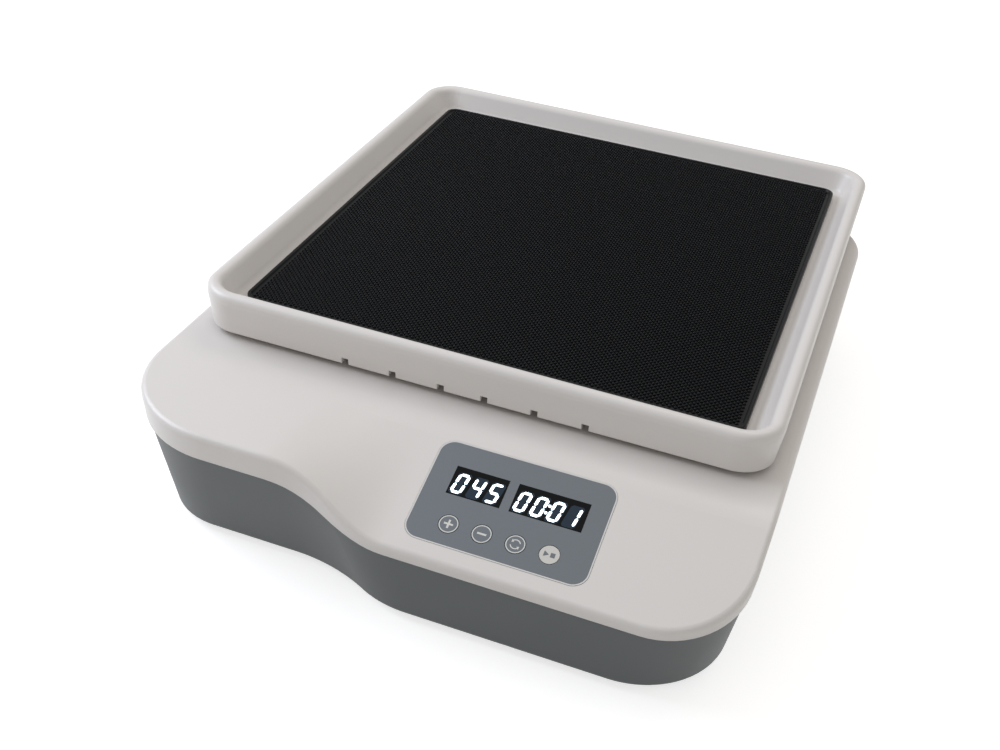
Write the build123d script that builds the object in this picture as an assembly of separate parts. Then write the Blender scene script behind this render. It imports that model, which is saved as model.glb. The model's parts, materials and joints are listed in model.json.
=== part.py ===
from build123d import *
import math
import os

os.makedirs("parts", exist_ok=True)

# An orbital shaker. The origin is on the bench under the middle of the machine at rest.
# +X is to the right and +Y to the back, for someone who stands at the control panel.
# All sizes are in millimetres and angles in degrees.

# Motion
orbit_radius = 10.0
key_travel = 0.4
rocker_swing = 20.0

# Platform
tray_width = 264.0
tray_depth = 280.0
tray_corner = 18.0
tray_wall = 2.6
tray_floor = 3.0
rim_width = 5.8
rim_height = 11.8
rim_round = 3.0
rim_lip_round = 4.2
pocket_slope = 5.7
pocket_cove = 4.0
rim_groove = 1.6
rim_groove_top = 5.0
skirt_gap = 3.1
skirt_taper = 1.7
skirt_belly = 14.4
notch_pitch = 22.6
notch_gap = 20.0
notch_shift = -2.2
notch_count = 6
notch_width = 3.2
notch_height = 3.0
mat_margin = 4.5
mat_thickness = 3.5
mat_corner = 6.0
mat_bevel = 0.5
mat_border = 2.0
ridge_height = 0.8
ridge_width = 1.6
ridge_pitch = 11.0
carrier_gap = 1.6
carrier_thickness = 6.0
carrier_margin = 22.0
tray_screw_dx = 5.0
tray_screw_dy = 20.0
tray_screw_sink = 1.6
tray_screw_head = 4.0

# Cover
drive_to_front = 206.0
drive_to_back = 131.0
cover_width = 277.0
front_step = 8.15
front_lean = 2.31
cover_top = 65.4
cover_wall = 2.5
cover_round = 2.4
cover_taper = 5.7
corner_left = 48.8
corner_right = 37.3
corner_back = 40.0
front_flat = 35.2
step_length = 49.8
step_share = 0.44

# The tongue is the part of the cover that slopes down to the control panel.
tongue_length = 60.3
tongue_angle = 20.2
tongue_blend = 6.0
tongue_fade = 56.0
fade_steps = 8

# Base
parting_height = 52.8
parting_angle = 13.5
parting_seam = 0.4
lip = 0.9
base_wall = 2.6
base_round = 2.5
left_draft = 10.3
right_draft = 6.2
step_draft = 12.9
front_draft = 6.6
base_corner_left = 31.3
base_corner_right = 39.8
base_step_stretch = 8.5
base_share_shift = 0.2
foot_height = 4.0
foot_side_inset = 50.5
foot_front_inset = 54.0
foot_back_inset = 40.0
foot_radius = 10.0
foot_stem = 4.0
foot_barb = 1.6
column_radius = 5.0
column_top = 30.0
column_side_insets = (34.5, 23.5, 26.5)
column_front_inset = 66.0
column_middle_shift = 18.0
column_back_inset = 29.0
cover_screw_length = 17.0
cover_screw_sink = 8.0
vent_x = 50.0
vent_count = 7
vent_width = 2.4
vent_height = 16.0
vent_pitch = 6.0

# Control panel
panel_width = 76.5
panel_height = 47.8
panel_corner = 6.6
panel_to_side = 100.1
panel_to_front = 31.8
overlay_thickness = 0.6
overlay_proud = 0.1
window_height = 13.4
window_v = 6.0
window_ledge = 0.5
speed_window_width = 22.9
speed_window_u = -16.6
time_window_width = 30.3
time_window_u = 14.1
key_radius = 4.0
key_pitch = 14.1
key_row_u = -0.3
key_row_v = -13.85
key_flange = 1.4
key_flange_thickness = 0.8
key_stem = 1.5
board_depth = 9.0
board_thickness = 1.6
board_margin = 2.5
post_radius = 2.6
tact_size = 6.0
tact_height = 2.4
tact_plunger = 1.7
tact_rise = 0.5

# Drive
chassis_height = 18.0
chassis_thickness = 3.0
chassis_side_inset = 32.5
chassis_end_inset = 6.0
chassis_shift = -3.0
chassis_screw_inset = 9.0
chassis_screw_length = 11.0
drive_shaft_radius = 7.5
drive_pin_radius = 6.0
drive_bearing_radius = 16.0
drive_bearing_width = 9.0
drive_barrel_wall = 5.0
web_radius = 30.0
web_thickness = 4.0
web_height = 48.0
weight_thickness = 6.0
weight_offset = 8.0
weight_screw_x = 14.0
weight_screw_back = 16.0
weight_sink = 2.5
pin_boss = 3.0
guide_chassis_inset_x = 21.0
guide_chassis_inset_y = 39.0
guide_tray_inset_x = 47.0
guide_tray_inset_y = 54.0
guide_shaft_radius = 4.0
guide_bearing_radius = 11.0
guide_bearing_width = 7.0
guide_barrel_wall = 3.5
guide_arm_width = 16.0
guide_arm_height = 46.0
guide_arm_thickness = 7.0
bearing_clearance = 2.0
bearing_lift = 5.0
bearing_spacer = 2.5
shoulder = 2.5
platform_bearing_wall = 5.5
platform_bearing_width = 5.0
bearing_lip = 0.8
seat_ledge = 1.5
shaft_room = 4.5
pin_top_gap = 0.5
flange_thickness = 4.0
flange_width = 10.0
pulley_radius = 32.0
pulley_ratio = 10.0 / 3.0
pulley_width = 7.0
pulley_flange = 2.0
pulley_flange_thickness = 0.8
pulley_height = 9.5
belt_thickness = 1.5
motor_distance = 83.0
motor_radius = 22.0
motor_length = 30.0
motor_shaft_radius = 3.0

# Electrics
inlet_x = -48.0
inlet_z = 31.0
inlet_flange_width = 49.0
inlet_flange_height = 23.0
inlet_flange_thickness = 2.5
inlet_body_width = 27.4
inlet_body_height = 19.6
inlet_body_depth = 22.0
inlet_cavity_width = 24.0
inlet_cavity_height = 16.0
inlet_cavity_depth = 16.0
inlet_cavity_chamfer = 4.5
inlet_screw_pitch = 40.0
inlet_pin_width = 2.0
inlet_pin_height = 4.0
inlet_pin_pitch = 7.0
inlet_pin_rise = 1.5
inlet_earth_drop = 2.5
inlet_pin_reach = 11.0
switch_x = -5.0
switch_width = 15.0
switch_height = 22.0
switch_wall = 1.0
switch_lip = 1.6
switch_depth = 13.0
switch_bezel = 1.8
rocker_pin = 1.0
rocker_width = 11.0
rocker_half = 7.7
rocker_pivot_depth = 3.5
psu_x = 30.0
psu_to_drive = 80.0
psu_width = 44.0
psu_depth = 52.0
standoff_height = 6.0
control_width = 124.0
control_depth = 30.0
control_height = 12.0
control_to_front = 46.0
board_screw_inset = 4.0

# Screws, by shank radius
large_screw = 2.0
small_screw = 1.5
board_screw = 1.2

# Fits
fit_gap = 0.05
free_gap = 0.3
hole_gap = 2.0
tool_reach = 30.0

# Places worked out from the sizes above
# The sloped front edge lies front_lean behind the line that the front keeps at the cover's top.
overall_depth = drive_to_front - front_lean + orbit_radius + tray_depth / 2
front_y = -overall_depth / 2 - front_lean
drive_y = front_y + drive_to_front
back_y = drive_y + drive_to_back
tray_y = drive_y + orbit_radius
break_y = front_y + tongue_length
tongue_slope = math.tan(math.radians(tongue_angle))
parting_slope = math.tan(math.radians(parting_angle))
wall_slope = math.tan(math.radians(cover_taper))
carrier_z = cover_top + carrier_gap
floor_z = carrier_z + carrier_thickness
mat_z = floor_z + tray_floor
rim_z = mat_z + rim_height
skirt_z = cover_top + skirt_gap
base_floor = foot_height + base_wall
chassis_top = chassis_height + chassis_thickness
pin_top = floor_z - pin_top_gap
base_back_inset = (cover_top - parting_height) * wall_slope + lip
motor_y = drive_y - motor_distance
weight_screw_y = drive_y - weight_screw_back
motor_pulley_radius = pulley_radius / pulley_ratio
step_start = corner_left + front_flat - cover_width / 2
step_end = step_start + step_length
column_ys = (front_y + column_front_inset, drive_y - column_middle_shift, back_y - column_back_inset)
column_places = [(sx * (cover_width / 2 - inset), y) for inset, y in zip(column_side_insets, column_ys)
                 for sx in (-1, 1)]
foot_places = [(sx * (cover_width / 2 - foot_side_inset), y)
               for y in (front_y + foot_front_inset, back_y - foot_back_inset) for sx in (-1, 1)]

# The chassis fills the base. The guides stand as far out as both the chassis and the tray let them.
chassis_width = cover_width - 2 * chassis_side_inset
chassis_depth = 2 * (drive_to_back - chassis_end_inset)
chassis_y = drive_y + chassis_shift
chassis_dx = chassis_width / 2 - chassis_screw_inset
chassis_dy = chassis_depth / 2 - chassis_screw_inset
chassis_places = [(sx * chassis_dx, chassis_y + sy * chassis_dy) for sy in (-1, 0, 1) for sx in (-1, 1)]
guide_x = min(chassis_width / 2 - guide_chassis_inset_x, tray_width / 2 - guide_tray_inset_x)
guide_y = min(chassis_depth / 2 - guide_chassis_inset_y, tray_depth / 2 - guide_tray_inset_y)
guide_places = [(sx * guide_x, drive_y + sy * guide_y) for sy in (-1, 1) for sx in (-1, 1)]
psu_y = drive_y + psu_to_drive
control_y = front_y + control_to_front

panel_y = front_y + panel_to_front
panel_z = cover_top - tongue_slope * (break_y - panel_y)
panel_plane = Plane(
    origin=(cover_width / 2 - panel_to_side, panel_y, panel_z),
    x_dir=(1, 0, 0),
    z_dir=(0, -math.sin(math.radians(tongue_angle)), math.cos(math.radians(tongue_angle))),
)
key_names = ["plus_key", "minus_key", "mode_key", "start_key"]
key_us = [key_row_u + (i - 1.5) * key_pitch for i in range(4)]


def save(name, *shapes):
    # One file holds one piece, or one group of like pieces.
    solids = [solid for shape in shapes for solid in shape.solids()]
    export_step(solids[0] if len(solids) == 1 else Compound(children=solids), f"parts/{name}.step")


def cylinder(x, y, z_low, z_high, radius):
    return Pos(x, y, z_low) * Cylinder(radius, z_high - z_low, align=(Align.CENTER, Align.CENTER, Align.MIN))


def block(x, y, z_low, z_high, width, depth):
    return Pos(x, y, z_low) * Box(width, depth, z_high - z_low, align=(Align.CENTER, Align.CENTER, Align.MIN))


def rounded_block(x, y, z_low, z_high, width, depth, corner):
    return Pos(x, y, z_low) * extrude(RectangleRounded(width, depth, corner), z_high - z_low)


def spun(points, x, y):
    # A turned piece from (radius, height) points, about the vertical line through x and y.
    profile = make_face(Polyline(*[(r, 0, z) for r, z in points], close=True))
    return Pos(x, y, 0) * revolve(profile, Axis.Z)


def screw(x, y, z_seat, shank_radius, head_radius, head_height, shank_length, up=1):
    # A pan head screw that seats at z_seat and whose head points up or down.
    socket = head_radius * 0.5
    z_head = z_seat + up * head_height
    z_end = z_seat - up * shank_length
    head = cylinder(x, y, min(z_seat, z_head), max(z_seat, z_head), head_radius)
    shank = cylinder(x, y, min(z_seat, z_end), max(z_seat, z_end), shank_radius)
    z_socket = z_seat + up * head_height * 0.4
    hexagon = Pos(x, y, min(z_socket, z_socket + up * head_height)) * extrude(
        RegularPolygon(socket, 6), head_height)
    return head + shank - hexagon


# Cover and base outline

def outline(z, left, right, front_left, front_right, back, r_left, r_right, r_back, stretch=0.0):
    # The plan outline. Its front steps forward on the right through an S of two tangent arcs.
    start = step_start
    end = step_end + base_step_stretch * stretch
    share = step_share + base_share_shift * stretch
    middle = (start + share * (end - start), front_left + share * (front_right - front_left))
    lines = [
        Line((-left, back - r_back), (-left, front_left + r_left)),
        CenterArc((-left + r_left, front_left + r_left), r_left, 180, 90),
        Line((-left + r_left, front_left), (start, front_left)),
        TangentArc((start, front_left), middle, tangent=(1, 0)),
        TangentArc((end, front_right), middle, tangent=(-1, 0)),
        Line((end, front_right), (right - r_right, front_right)),
        CenterArc((right - r_right, front_right + r_right), r_right, 270, 90),
        Line((right, front_right + r_right), (right, back - r_back)),
        CenterArc((right - r_back, back - r_back), r_back, 0, 90),
        Line((right - r_back, back), (-left + r_back, back)),
        CenterArc((-left + r_back, back - r_back), r_back, 90, 90),
    ]
    return Pos(0, 0, z) * Wire([edge for line in lines for edge in line.edges()])


def cover_outline(z, inset=0.0):
    d = inset + (cover_top - z) * wall_slope
    half = cover_width / 2 - d
    return outline(z, half, half, front_y + front_step + d, front_y + d, back_y - d,
                   corner_left - d, corner_right - d, corner_back - d)


def base_outline(z, inset=0.0):
    # The walls lean inward towards the bench, less in front and not at all at the back.
    t = (parting_height - z) / (parting_height - foot_height)
    d = base_back_inset + inset
    half = cover_width / 2 - d
    r_left = (corner_left - base_back_inset) * (1 - t) + base_corner_left * t - inset
    r_right = (corner_right - base_back_inset) * (1 - t) + base_corner_right * t - inset
    return outline(z, half - left_draft * t, half - right_draft * t, front_y + front_step + d + step_draft * t,
                   front_y + d + front_draft * t, back_y - d, r_left, r_right, corner_back - d, t)


def fade(x):
    # From 0 on the level left side to 1 where the front step ends.
    t = (x - step_end + tongue_fade) / tongue_fade
    t = max(0.0, min(1.0, t))
    return t * t * (3 - 2 * t)


def above_surface(level, slope):
    # Everything above a surface that is level at the back and left and slopes down on the tongue.
    y_front = front_y - tool_reach / 2
    y_back = back_y + tool_reach / 2
    z_high = cover_top + tool_reach
    step = tongue_fade / fade_steps
    reach = (cover_width + tool_reach) / 2
    first = math.floor((-reach - step_end) / step)
    last = math.ceil((reach - step_end) / step)
    sections = []
    for i in range(first, last + 1):
        x = step_end + i * step
        s = fade(x) * slope
        front = Vector(x, y_front, level - s * (break_y - y_front))
        bend_low = Vector(x, break_y - tongue_blend, level - s * tongue_blend)
        corner = Vector(x, break_y, level)
        bend_high = Vector(x, break_y + tongue_blend, level)
        back = Vector(x, y_back, level)
        back_high = Vector(x, y_back, z_high)
        front_high = Vector(x, y_front, z_high)
        sections.append(Wire([
            Edge.make_line(front, bend_low),
            Edge.make_bezier(bend_low, corner, bend_high),
            Edge.make_line(bend_high, back),
            Edge.make_line(back, back_high),
            Edge.make_line(back_high, front_high),
            Edge.make_line(front_high, front),
        ]))
    return Solid.make_loft(sections)


def on_panel(u, v, depth_low, depth_high, shape):
    # A flat shape on the panel, made solid between two depths under the cover's surface.
    place = panel_plane * Pos(u, v, -depth_low)
    return place * extrude(shape, depth_low - depth_high)


def panel_posts():
    du = panel_width / 2 - board_margin - post_radius - 2 * free_gap
    dv = panel_height / 2 - board_margin - post_radius - 2 * free_gap
    return [(su * du, sv * dv) for su in (-1, 1) for sv in (-1, 1)]


def make_cover():
    blank = Solid.make_loft([cover_outline(cover_top + 4), cover_outline(parting_height - 24)], ruled=True)
    shell = (blank & above_surface(parting_height, parting_slope)) - above_surface(cover_top, tongue_slope)
    shell = shell.solids()[0]
    rim = []
    for edge in shell.edges():
        faces = [face for face in shell.faces() if any(other.is_same(edge) for other in face.edges())]
        ups = [face for face in faces if face.normal_at(face.center()).Z > 0.8]
        sides = [face for face in faces if abs(face.normal_at(face.center()).Z) < 0.5]
        if len(ups) == 1 and len(sides) == 1:
            rim.append(edge)
    shell = shell.fillet(cover_round, rim)
    inside = Solid.make_loft([cover_outline(cover_top + 4, cover_wall),
                              cover_outline(parting_height - tool_reach, cover_wall)], ruled=True)
    shell = shell - (inside - above_surface(cover_top - cover_wall, tongue_slope))
    for x, y in column_places:
        shell += cylinder(x, y, column_top, cover_top - cover_wall / 2, column_radius - 0.5)
        shell -= cylinder(x, y, column_top - 1, column_top + 12, 1.9)
    shell -= cylinder(0, drive_y, cover_top - 8, cover_top + 8, orbit_radius + drive_pin_radius + hole_gap)
    for x, y in guide_places:
        shell -= cylinder(x, y, cover_top - 8, cover_top + 8, orbit_radius + guide_shaft_radius + hole_gap)
    for u, v in panel_posts():
        shell += on_panel(u, v, board_depth, cover_wall / 2, Circle(post_radius))
        shell -= on_panel(u, v, board_depth + 1, cover_wall, Circle(1.0))
    recess = overlay_thickness - overlay_proud
    shell -= on_panel(0, 0, recess, -8, RectangleRounded(panel_width + 2 * fit_gap, panel_height + 2 * fit_gap,
                                                         panel_corner))
    for u, width in ((speed_window_u, speed_window_width), (time_window_u, time_window_width)):
        shell -= on_panel(u, window_v, cover_wall + 4, -1,
                          Rectangle(width - 2 * window_ledge, window_height - 2 * window_ledge))
    for u in key_us:
        shell -= on_panel(u, key_row_v, cover_wall + 4, -1, Circle(key_radius + key_flange + free_gap))
    return shell


def make_base():
    outer = Solid.make_loft([base_outline(parting_height + 4), base_outline(foot_height)], ruled=True)
    bottom = outer.faces().sort_by(Axis.Z)[0]
    outer = outer.fillet(base_round, bottom.edges())
    inner = Solid.make_loft([base_outline(parting_height + 6, base_wall), base_outline(base_floor, base_wall)],
                            ruled=True)
    shell = outer - inner
    shell -= above_surface(parting_height - parting_seam, parting_slope)
    for x, y in column_places:
        shell += cylinder(x, y, base_floor - 1, column_top, column_radius)
        shell -= cylinder(x, y, foot_height - 1, column_top - cover_screw_sink, column_radius - 1.4)
        shell -= cylinder(x, y, column_top - cover_screw_sink - 1, column_top + 1, 2.2)
    for x, y in chassis_places:
        shell += cylinder(x, y, base_floor - 1, chassis_height, column_radius)
        shell -= cylinder(x, y, base_floor + 1, chassis_height + 1, large_screw + fit_gap)
    for x, y in foot_places:
        shell -= cylinder(x, y, foot_height - 1, base_floor + 1, foot_stem + fit_gap)
    for x, y in control_posts():
        shell += cylinder(x, y, base_floor - 1, control_height, 3.0)
        shell -= cylinder(x, y, base_floor + 1, control_height + 1, board_screw + fit_gap)
    wall_y = back_y - base_back_inset
    shell -= Pos(inlet_x, wall_y - base_wall / 2, inlet_z) * Box(
        inlet_body_width + 2 * fit_gap, base_wall * 3, inlet_body_height + 2 * fit_gap)
    for sx in (-1, 1):
        shell -= Pos(inlet_x + sx * inlet_screw_pitch / 2, wall_y, inlet_z) * Rot(90, 0, 0) * Cylinder(
            small_screw + fit_gap, base_wall * 4)
    lip_room = 2 * (fit_gap - switch_lip)
    shell -= Pos(switch_x, wall_y - base_wall / 2, inlet_z) * Box(
        switch_width + lip_room, base_wall * 3, switch_height + lip_room)
    for i in range(vent_count):
        x = vent_x + (i - (vent_count - 1) / 2) * vent_pitch
        shell -= Pos(x, wall_y - base_wall / 2, inlet_z) * Box(vent_width, base_wall * 3, vent_height)
    return shell


# Platform

def make_tray():
    belly_z = skirt_z + skirt_belly
    upper = rounded_block(0, tray_y, belly_z, rim_z, tray_width, tray_depth, tray_corner)
    lower = loft([
        Pos(0, tray_y, skirt_z) * RectangleRounded(tray_width - 2 * skirt_taper, tray_depth - 2 * skirt_taper,
                                                   tray_corner - skirt_taper),
        Pos(0, tray_y, belly_z) * RectangleRounded(tray_width, tray_depth, tray_corner),
    ])
    tray = lower + upper
    top = tray.faces().sort_by(Axis.Z)[-1]
    tray = tray.solids()[0].fillet(rim_round, top.edges())
    mouth = RectangleRounded(tray_width - 2 * rim_width, tray_depth - 2 * rim_width, tray_corner - rim_width)
    foot_inset = rim_width + pocket_slope
    foot = RectangleRounded(tray_width - 2 * foot_inset, tray_depth - 2 * foot_inset, tray_corner - foot_inset)
    pocket = loft([Pos(0, tray_y, mat_z) * foot, Pos(0, tray_y, rim_z + 0.01) * mouth])
    pocket = pocket.solids()[0].fillet(pocket_cove, pocket.faces().sort_by(Axis.Z)[0].edges())
    tray -= pocket
    mouth_edges = [edge for edge in tray.edges()
                   if abs(edge.center().Z - rim_z) < 0.05 and edge.bounding_box().size.Z < 0.05
                   and abs(edge.center().X) < tray_width / 2 - rim_width + 0.5
                   and abs(edge.center().Y - tray_y) < tray_depth / 2 - rim_width + 0.5]
    tray = tray.solids()[0].fillet(rim_lip_round, mouth_edges)
    # The underside is hollow, with a groove that runs up inside the rim.
    hollow = tray_wall + skirt_taper
    hollow_width = tray_width - 2 * hollow
    hollow_depth = tray_depth - 2 * hollow
    tray -= rounded_block(0, tray_y, skirt_z - 1, floor_z, hollow_width, hollow_depth, tray_corner - hollow)
    groove = rounded_block(0, tray_y, floor_z - 1, rim_z - rim_groove_top, hollow_width, hollow_depth,
                           tray_corner - hollow)
    groove -= rounded_block(0, tray_y, floor_z - 2, rim_z, hollow_width - 2 * rim_groove,
                            hollow_depth - 2 * rim_groove, tray_corner - hollow - rim_groove)
    tray -= groove
    for i in range(notch_count):
        x = notch_gap / 2 + (abs(i - (notch_count - 1) / 2) - 0.5) * notch_pitch
        x = x if i >= notch_count / 2 else -x
        cut = Pos(x + notch_shift, tray_y - tray_depth / 2 + 5, skirt_z - 0.5) * Box(
            notch_width, 10, notch_height + 0.5, align=(Align.CENTER, Align.CENTER, Align.MIN))
        tray -= cut
    for x, y in tray_screw_places():
        tray -= cylinder(x, y, floor_z - 1, mat_z + 1, large_screw + fit_gap)
        tray -= cylinder(x, y, mat_z - tray_screw_sink, mat_z + 1, tray_screw_head + 0.2)
    return tray


def tray_screw_places():
    dx = guide_x + tray_screw_dx
    dy = guide_y + tray_screw_dy
    return [(sx * dx, tray_y + sy * dy) for sx in (-1, 1) for sy in (-1, 1)]


def make_mat():
    # A smooth border round a sunk field, which the main ridges of the pattern cross on the diagonal.
    inset = rim_width + pocket_slope + mat_margin
    width = tray_width - 2 * inset
    depth = tray_depth - 2 * inset
    top = mat_z + mat_thickness
    mat = rounded_block(0, tray_y, mat_z, top, width, depth, mat_corner)
    mat = chamfer(mat.faces().sort_by(Axis.Z)[-1].edges(), mat_bevel)
    field = rounded_block(0, tray_y, top - ridge_height, top + 1, width - 2 * mat_border,
                          depth - 2 * mat_border, mat_corner - mat_border)
    count = math.ceil((width + depth) / math.sqrt(8) / ridge_pitch)
    ridge = Box(width + depth, ridge_width, 4 * ridge_height)
    ridges = [Pos(0, tray_y, top) * Rot(0, 0, -45) * Pos(0, i * ridge_pitch, 0) * ridge
              for i in range(-count, count + 1)]
    return mat - (field - ridges)


def make_carrier():
    width = tray_width - 2 * carrier_margin
    depth = tray_depth - 2 * carrier_margin
    carrier = rounded_block(0, tray_y, carrier_z, floor_z, width, depth, 8)
    seats = [(0, tray_y, drive_pin_radius)]
    seats += [(x, y + orbit_radius, guide_shaft_radius) for x, y in guide_places]
    for x, y, pin in seats:
        seat = pin + platform_bearing_wall + fit_gap
        carrier -= cylinder(x, y, carrier_z + bearing_lip, floor_z + 1, seat)
        carrier -= cylinder(x, y, carrier_z - 1, floor_z, seat - seat_ledge)
    for x, y in tray_screw_places():
        carrier -= cylinder(x, y, carrier_z - 1, floor_z + 1, large_screw + fit_gap)
    for sx in (-1, 1):
        carrier -= rounded_block(sx * width / 4, tray_y, carrier_z - 1, floor_z + 1, width * 0.3, depth * 0.3, 6)
    return carrier


def bearing(x, y, z, bore, outside, width):
    # A sealed ball bearing: the two ring faces stand proud of the seals.
    groove = 0.4
    inner = bore + (outside - bore) * 0.25
    outer = outside - (outside - bore) * 0.25
    return spun([(bore, z), (inner, z), (inner, z + groove), (outer, z + groove), (outer, z), (outside, z),
                 (outside, z + width), (outer, z + width), (outer, z + width - groove),
                 (inner, z + width - groove), (inner, z + width), (bore, z + width)], x, y)


# Drive

def make_housing(x, y, shaft, seat, width, barrel_wall):
    # A flanged barrel with two bearing seats either side of a shoulder.
    z0 = chassis_top
    z1 = z0 + bearing_lift
    z2 = z1 + width
    z3 = z2 + bearing_spacer
    z4 = z3 + width
    barrel = seat + barrel_wall
    bore = shaft + shaft_room
    flange_z = z0 + flange_thickness
    return spun([(bore, z0), (barrel + flange_width, z0), (barrel + flange_width, flange_z),
                 (barrel + 1.5, flange_z), (barrel, flange_z + 2), (barrel, z4 - 1),
                 (barrel - 1, z4), (seat, z4), (seat, z3), (seat - shoulder, z3), (seat - shoulder, z2),
                 (seat, z2), (seat, z1), (bore, z1)], x, y)


def flange_screws(x, y, radius, count, turn=0.0):
    return [(x + radius * math.cos(math.radians(turn + 360 * i / count)),
             y + radius * math.sin(math.radians(turn + 360 * i / count))) for i in range(count)]


drive_flange_r = drive_bearing_radius + drive_barrel_wall + flange_width * 0.55
guide_flange_r = guide_bearing_radius + guide_barrel_wall + flange_width * 0.55
drive_screws = flange_screws(0, drive_y, drive_flange_r, 4, 45)
guide_screws = [flange_screws(x, y, guide_flange_r, 3, 90) for x, y in guide_places]
motor_screws = flange_screws(0, motor_y, motor_radius - 5, 4, 45)
housing_screw_places = drive_screws + [place for group in guide_screws for place in group]


def make_drive_crank():
    r = drive_shaft_radius
    z_collar = chassis_top + bearing_lift + 2 * drive_bearing_width + bearing_spacer
    crank = spun([(0, pulley_height), (r, pulley_height), (r, z_collar + fit_gap), (r + 2, z_collar + fit_gap),
                  (r + 2, web_height), (web_radius, web_height), (web_radius, web_height + web_thickness),
                  (0, web_height + web_thickness)], 0, drive_y)
    boss_top = web_height + web_thickness + 5.0
    crank += cylinder(0, tray_y, web_height + web_thickness, boss_top, drive_pin_radius + pin_boss)
    crank += cylinder(0, tray_y, boss_top, pin_top, drive_pin_radius)
    for sx in (-1, 1):
        crank -= cylinder(sx * weight_screw_x, weight_screw_y, web_height - 1, web_height + web_thickness + 1,
                          large_screw + fit_gap)
    return crank


def make_counterweight():
    z = web_height + web_thickness
    weight = cylinder(0, drive_y, z, z + weight_thickness, web_radius)
    weight -= block(0, drive_y - weight_offset + web_radius, z - 1, z + weight_thickness + 1,
                    2 * web_radius + 2, 2 * web_radius)
    for sx in (-1, 1):
        weight -= cylinder(sx * weight_screw_x, weight_screw_y, z - 1, z + 8, large_screw + fit_gap)
        weight -= cylinder(sx * weight_screw_x, weight_screw_y, z + weight_thickness - weight_sink, z + 8, 3.6)
    return weight


def make_pulley(x, y, radius, shaft, hub_top, hub_radius):
    # A flanged belt pulley with a crowned rim.
    z0 = pulley_height
    z1 = z0 + pulley_width
    t = pulley_flange_thickness
    f = radius + pulley_flange
    points = [(shaft + fit_gap, z0), (f, z0), (f, z0 + t), (radius - 0.2, z0 + t), (radius, (z0 + z1) / 2),
              (radius - 0.2, z1 - t), (f, z1 - t), (f, z1), (hub_radius, z1), (hub_radius, hub_top),
              (shaft + fit_gap, hub_top)]
    return spun(points, x, y)


def make_crank_pulley():
    hub_top = chassis_top + bearing_lift - fit_gap
    pulley = make_pulley(0, drive_y, pulley_radius, drive_shaft_radius, hub_top, drive_shaft_radius + 2.5)
    for x, y in flange_screws(0, drive_y, pulley_radius * 0.62, 5):
        pulley -= cylinder(x, y, pulley_height - 1, pulley_height + pulley_width + 1, pulley_radius * 0.17)
    return pulley


def make_belt():
    gap = free_gap
    z0 = pulley_height + pulley_flange_thickness + gap
    z1 = pulley_height + pulley_width - pulley_flange_thickness - gap

    def loop(extra):
        circles = [Edge.make_circle(pulley_radius + extra, Plane((0, drive_y, z0))),
                   Edge.make_circle(motor_pulley_radius + extra, Plane((0, motor_y, z0)))]
        return Solid.extrude(make_face(make_hull(circles)).face(), (0, 0, z1 - z0))

    return loop(gap + belt_thickness) - loop(gap)


def make_guide_crank(x, y):
    z0 = chassis_top + bearing_lift
    z_collar = z0 + 2 * guide_bearing_width + bearing_spacer + fit_gap
    r = guide_shaft_radius
    crank = spun([(0, z0 - 2), (r + 2, z0 - 2), (r + 2, z0 - fit_gap), (r, z0 - fit_gap), (r, z_collar),
                  (r + 2, z_collar), (r + 2, guide_arm_height), (0, guide_arm_height)], x, y)
    arm = Pos(x, y + orbit_radius / 2, guide_arm_height) * extrude(
        Rot(0, 0, 90) * SlotCenterToCenter(orbit_radius, guide_arm_width), guide_arm_thickness)
    pin = cylinder(x, y + orbit_radius, guide_arm_height + guide_arm_thickness, pin_top, r)
    return crank + arm + pin


def make_motor_can():
    z0 = chassis_top
    z1 = z0 + motor_length
    r = motor_radius
    bore = motor_shaft_radius + fit_gap
    can = spun([(bore, z0), (r, z0), (r, z0 + 4), (r - 1, z0 + 5), (r - 1, z1 - 5), (r, z1 - 4), (r, z1 - 1.5),
                (r - 1.5, z1), (bore + 2, z1), (bore + 2, z1 - 2), (bore, z1 - 2)], 0, motor_y)
    for x, y in motor_screws:
        can -= cylinder(x, y, z0 - 1, z0 + 5, small_screw + fit_gap)
    return can


def make_motor_rotor():
    z1 = chassis_top + motor_length
    rotor = cylinder(0, motor_y, pulley_height - 1, z1 - 0.5, motor_shaft_radius)
    pulley = make_pulley(0, motor_y, motor_pulley_radius, motor_shaft_radius,
                         pulley_height + pulley_width + 0.8, motor_pulley_radius * 0.7)
    return rotor, pulley


def make_chassis():
    plate = rounded_block(0, chassis_y, chassis_height, chassis_top, chassis_width, chassis_depth, 10)
    plate -= cylinder(0, drive_y, chassis_height - 1, chassis_top + 1, drive_shaft_radius + shaft_room)
    plate -= cylinder(0, motor_y, chassis_height - 1, chassis_top + 1, motor_shaft_radius + 2)
    for x, y in guide_places:
        plate -= cylinder(x, y, chassis_height - 1, chassis_top + 1, guide_shaft_radius + shaft_room)
    for x, y in housing_screw_places + motor_screws:
        plate -= cylinder(x, y, chassis_height - 1, chassis_top + 1, small_screw + fit_gap)
    for x, y in chassis_places:
        plate -= cylinder(x, y, chassis_height - 1, chassis_top + 1, large_screw + fit_gap)
    for x, y in psu_posts():
        plate -= cylinder(x, y, chassis_height - 1, chassis_top + 1, board_screw + fit_gap)
    for sx in (-1, 1):
        plate -= rounded_block(sx * chassis_width * 0.29, drive_y - 5, chassis_height - 1, chassis_top + 1,
                               chassis_width / 7, chassis_depth * 0.28, 6)
    return plate


# Electrics

def board_corners(x, y, width, depth):
    dx = width / 2 - board_screw_inset
    dy = depth / 2 - board_screw_inset
    return [(x + sx * dx, y + sy * dy) for sx in (-1, 1) for sy in (-1, 1)]


def psu_posts():
    return board_corners(psu_x, psu_y, psu_width, psu_depth)


def control_posts():
    return board_corners(0, control_y, control_width, control_depth)


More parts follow.
